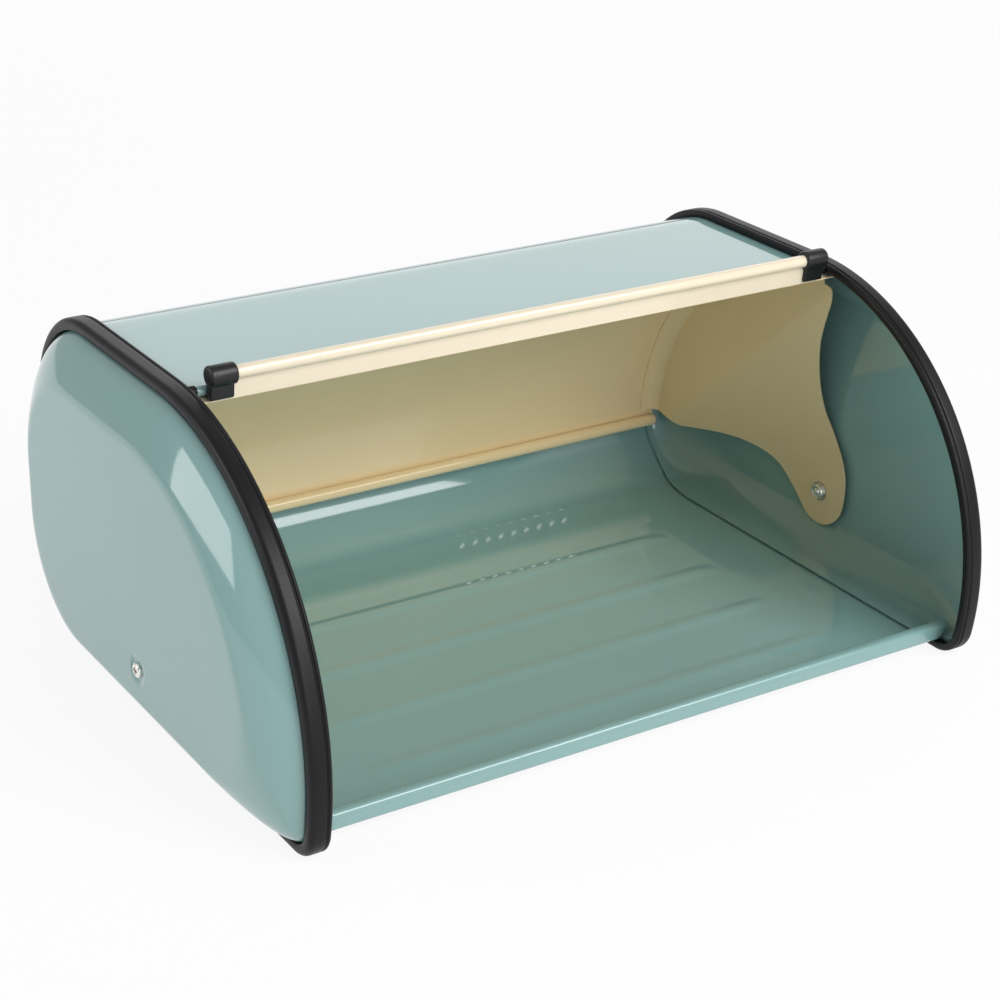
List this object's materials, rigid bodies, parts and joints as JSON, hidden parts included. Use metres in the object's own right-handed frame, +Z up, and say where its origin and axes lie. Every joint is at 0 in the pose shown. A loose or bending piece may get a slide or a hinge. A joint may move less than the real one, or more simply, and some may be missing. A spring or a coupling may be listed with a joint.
{
  "type": "roll top bread box",
  "caption": "Painted steel roll top bread box with domed ends, black edge trims and a curved lid that rolls up inside the back.",
  "frame": {"origin": "Middle of the footprint, on the surface that the box stands on.", "axes": "X along the box's length, to the right seen from its mouth; Y from the mouth to the back; Z up."},
  "size_m": [0.4228, 0.292, 0.1891],
  "materials": {
    "green_enamel": "glossy grey-green stove enamel on sheet steel",
    "cream_enamel": "glossy cream stove enamel on sheet steel",
    "black_trim": "satin black extruded rubber",
    "black_plastic": "satin black moulded plastic",
    "screw_steel": "zinc plated steel",
    "plated_steel": "bright plated steel",
    "spacer_nylon": "natural nylon"
  },
  "bodies": {
    "box": {"body_shell": "green_enamel", "left_end_cap": "green_enamel", "right_end_cap": "green_enamel", "left_edge_trim": "black_trim", "right_edge_trim": "black_trim", "left_pivot_screw": "screw_steel", "right_pivot_screw": "screw_steel", "left_pivot_spacer": "spacer_nylon", "right_pivot_spacer": "spacer_nylon", "left_pivot_washer": "plated_steel", "right_pivot_washer": "plated_steel", "left_pivot_nut": "plated_steel", "right_pivot_nut": "plated_steel"},
    "lid": {"lid_panel": "cream_enamel", "left_lid_arm": "cream_enamel", "right_lid_arm": "cream_enamel", "left_handle_cap": "black_plastic", "right_handle_cap": "black_plastic"}
  },
  "joints": [
    {"name": "lid_roll", "type": "hinge", "parent": "box", "child": "lid", "pos_m": [0, -0.004, 0.037], "axis": [1, 0, 0], "range_deg": [0, 93.4]}
  ]
}
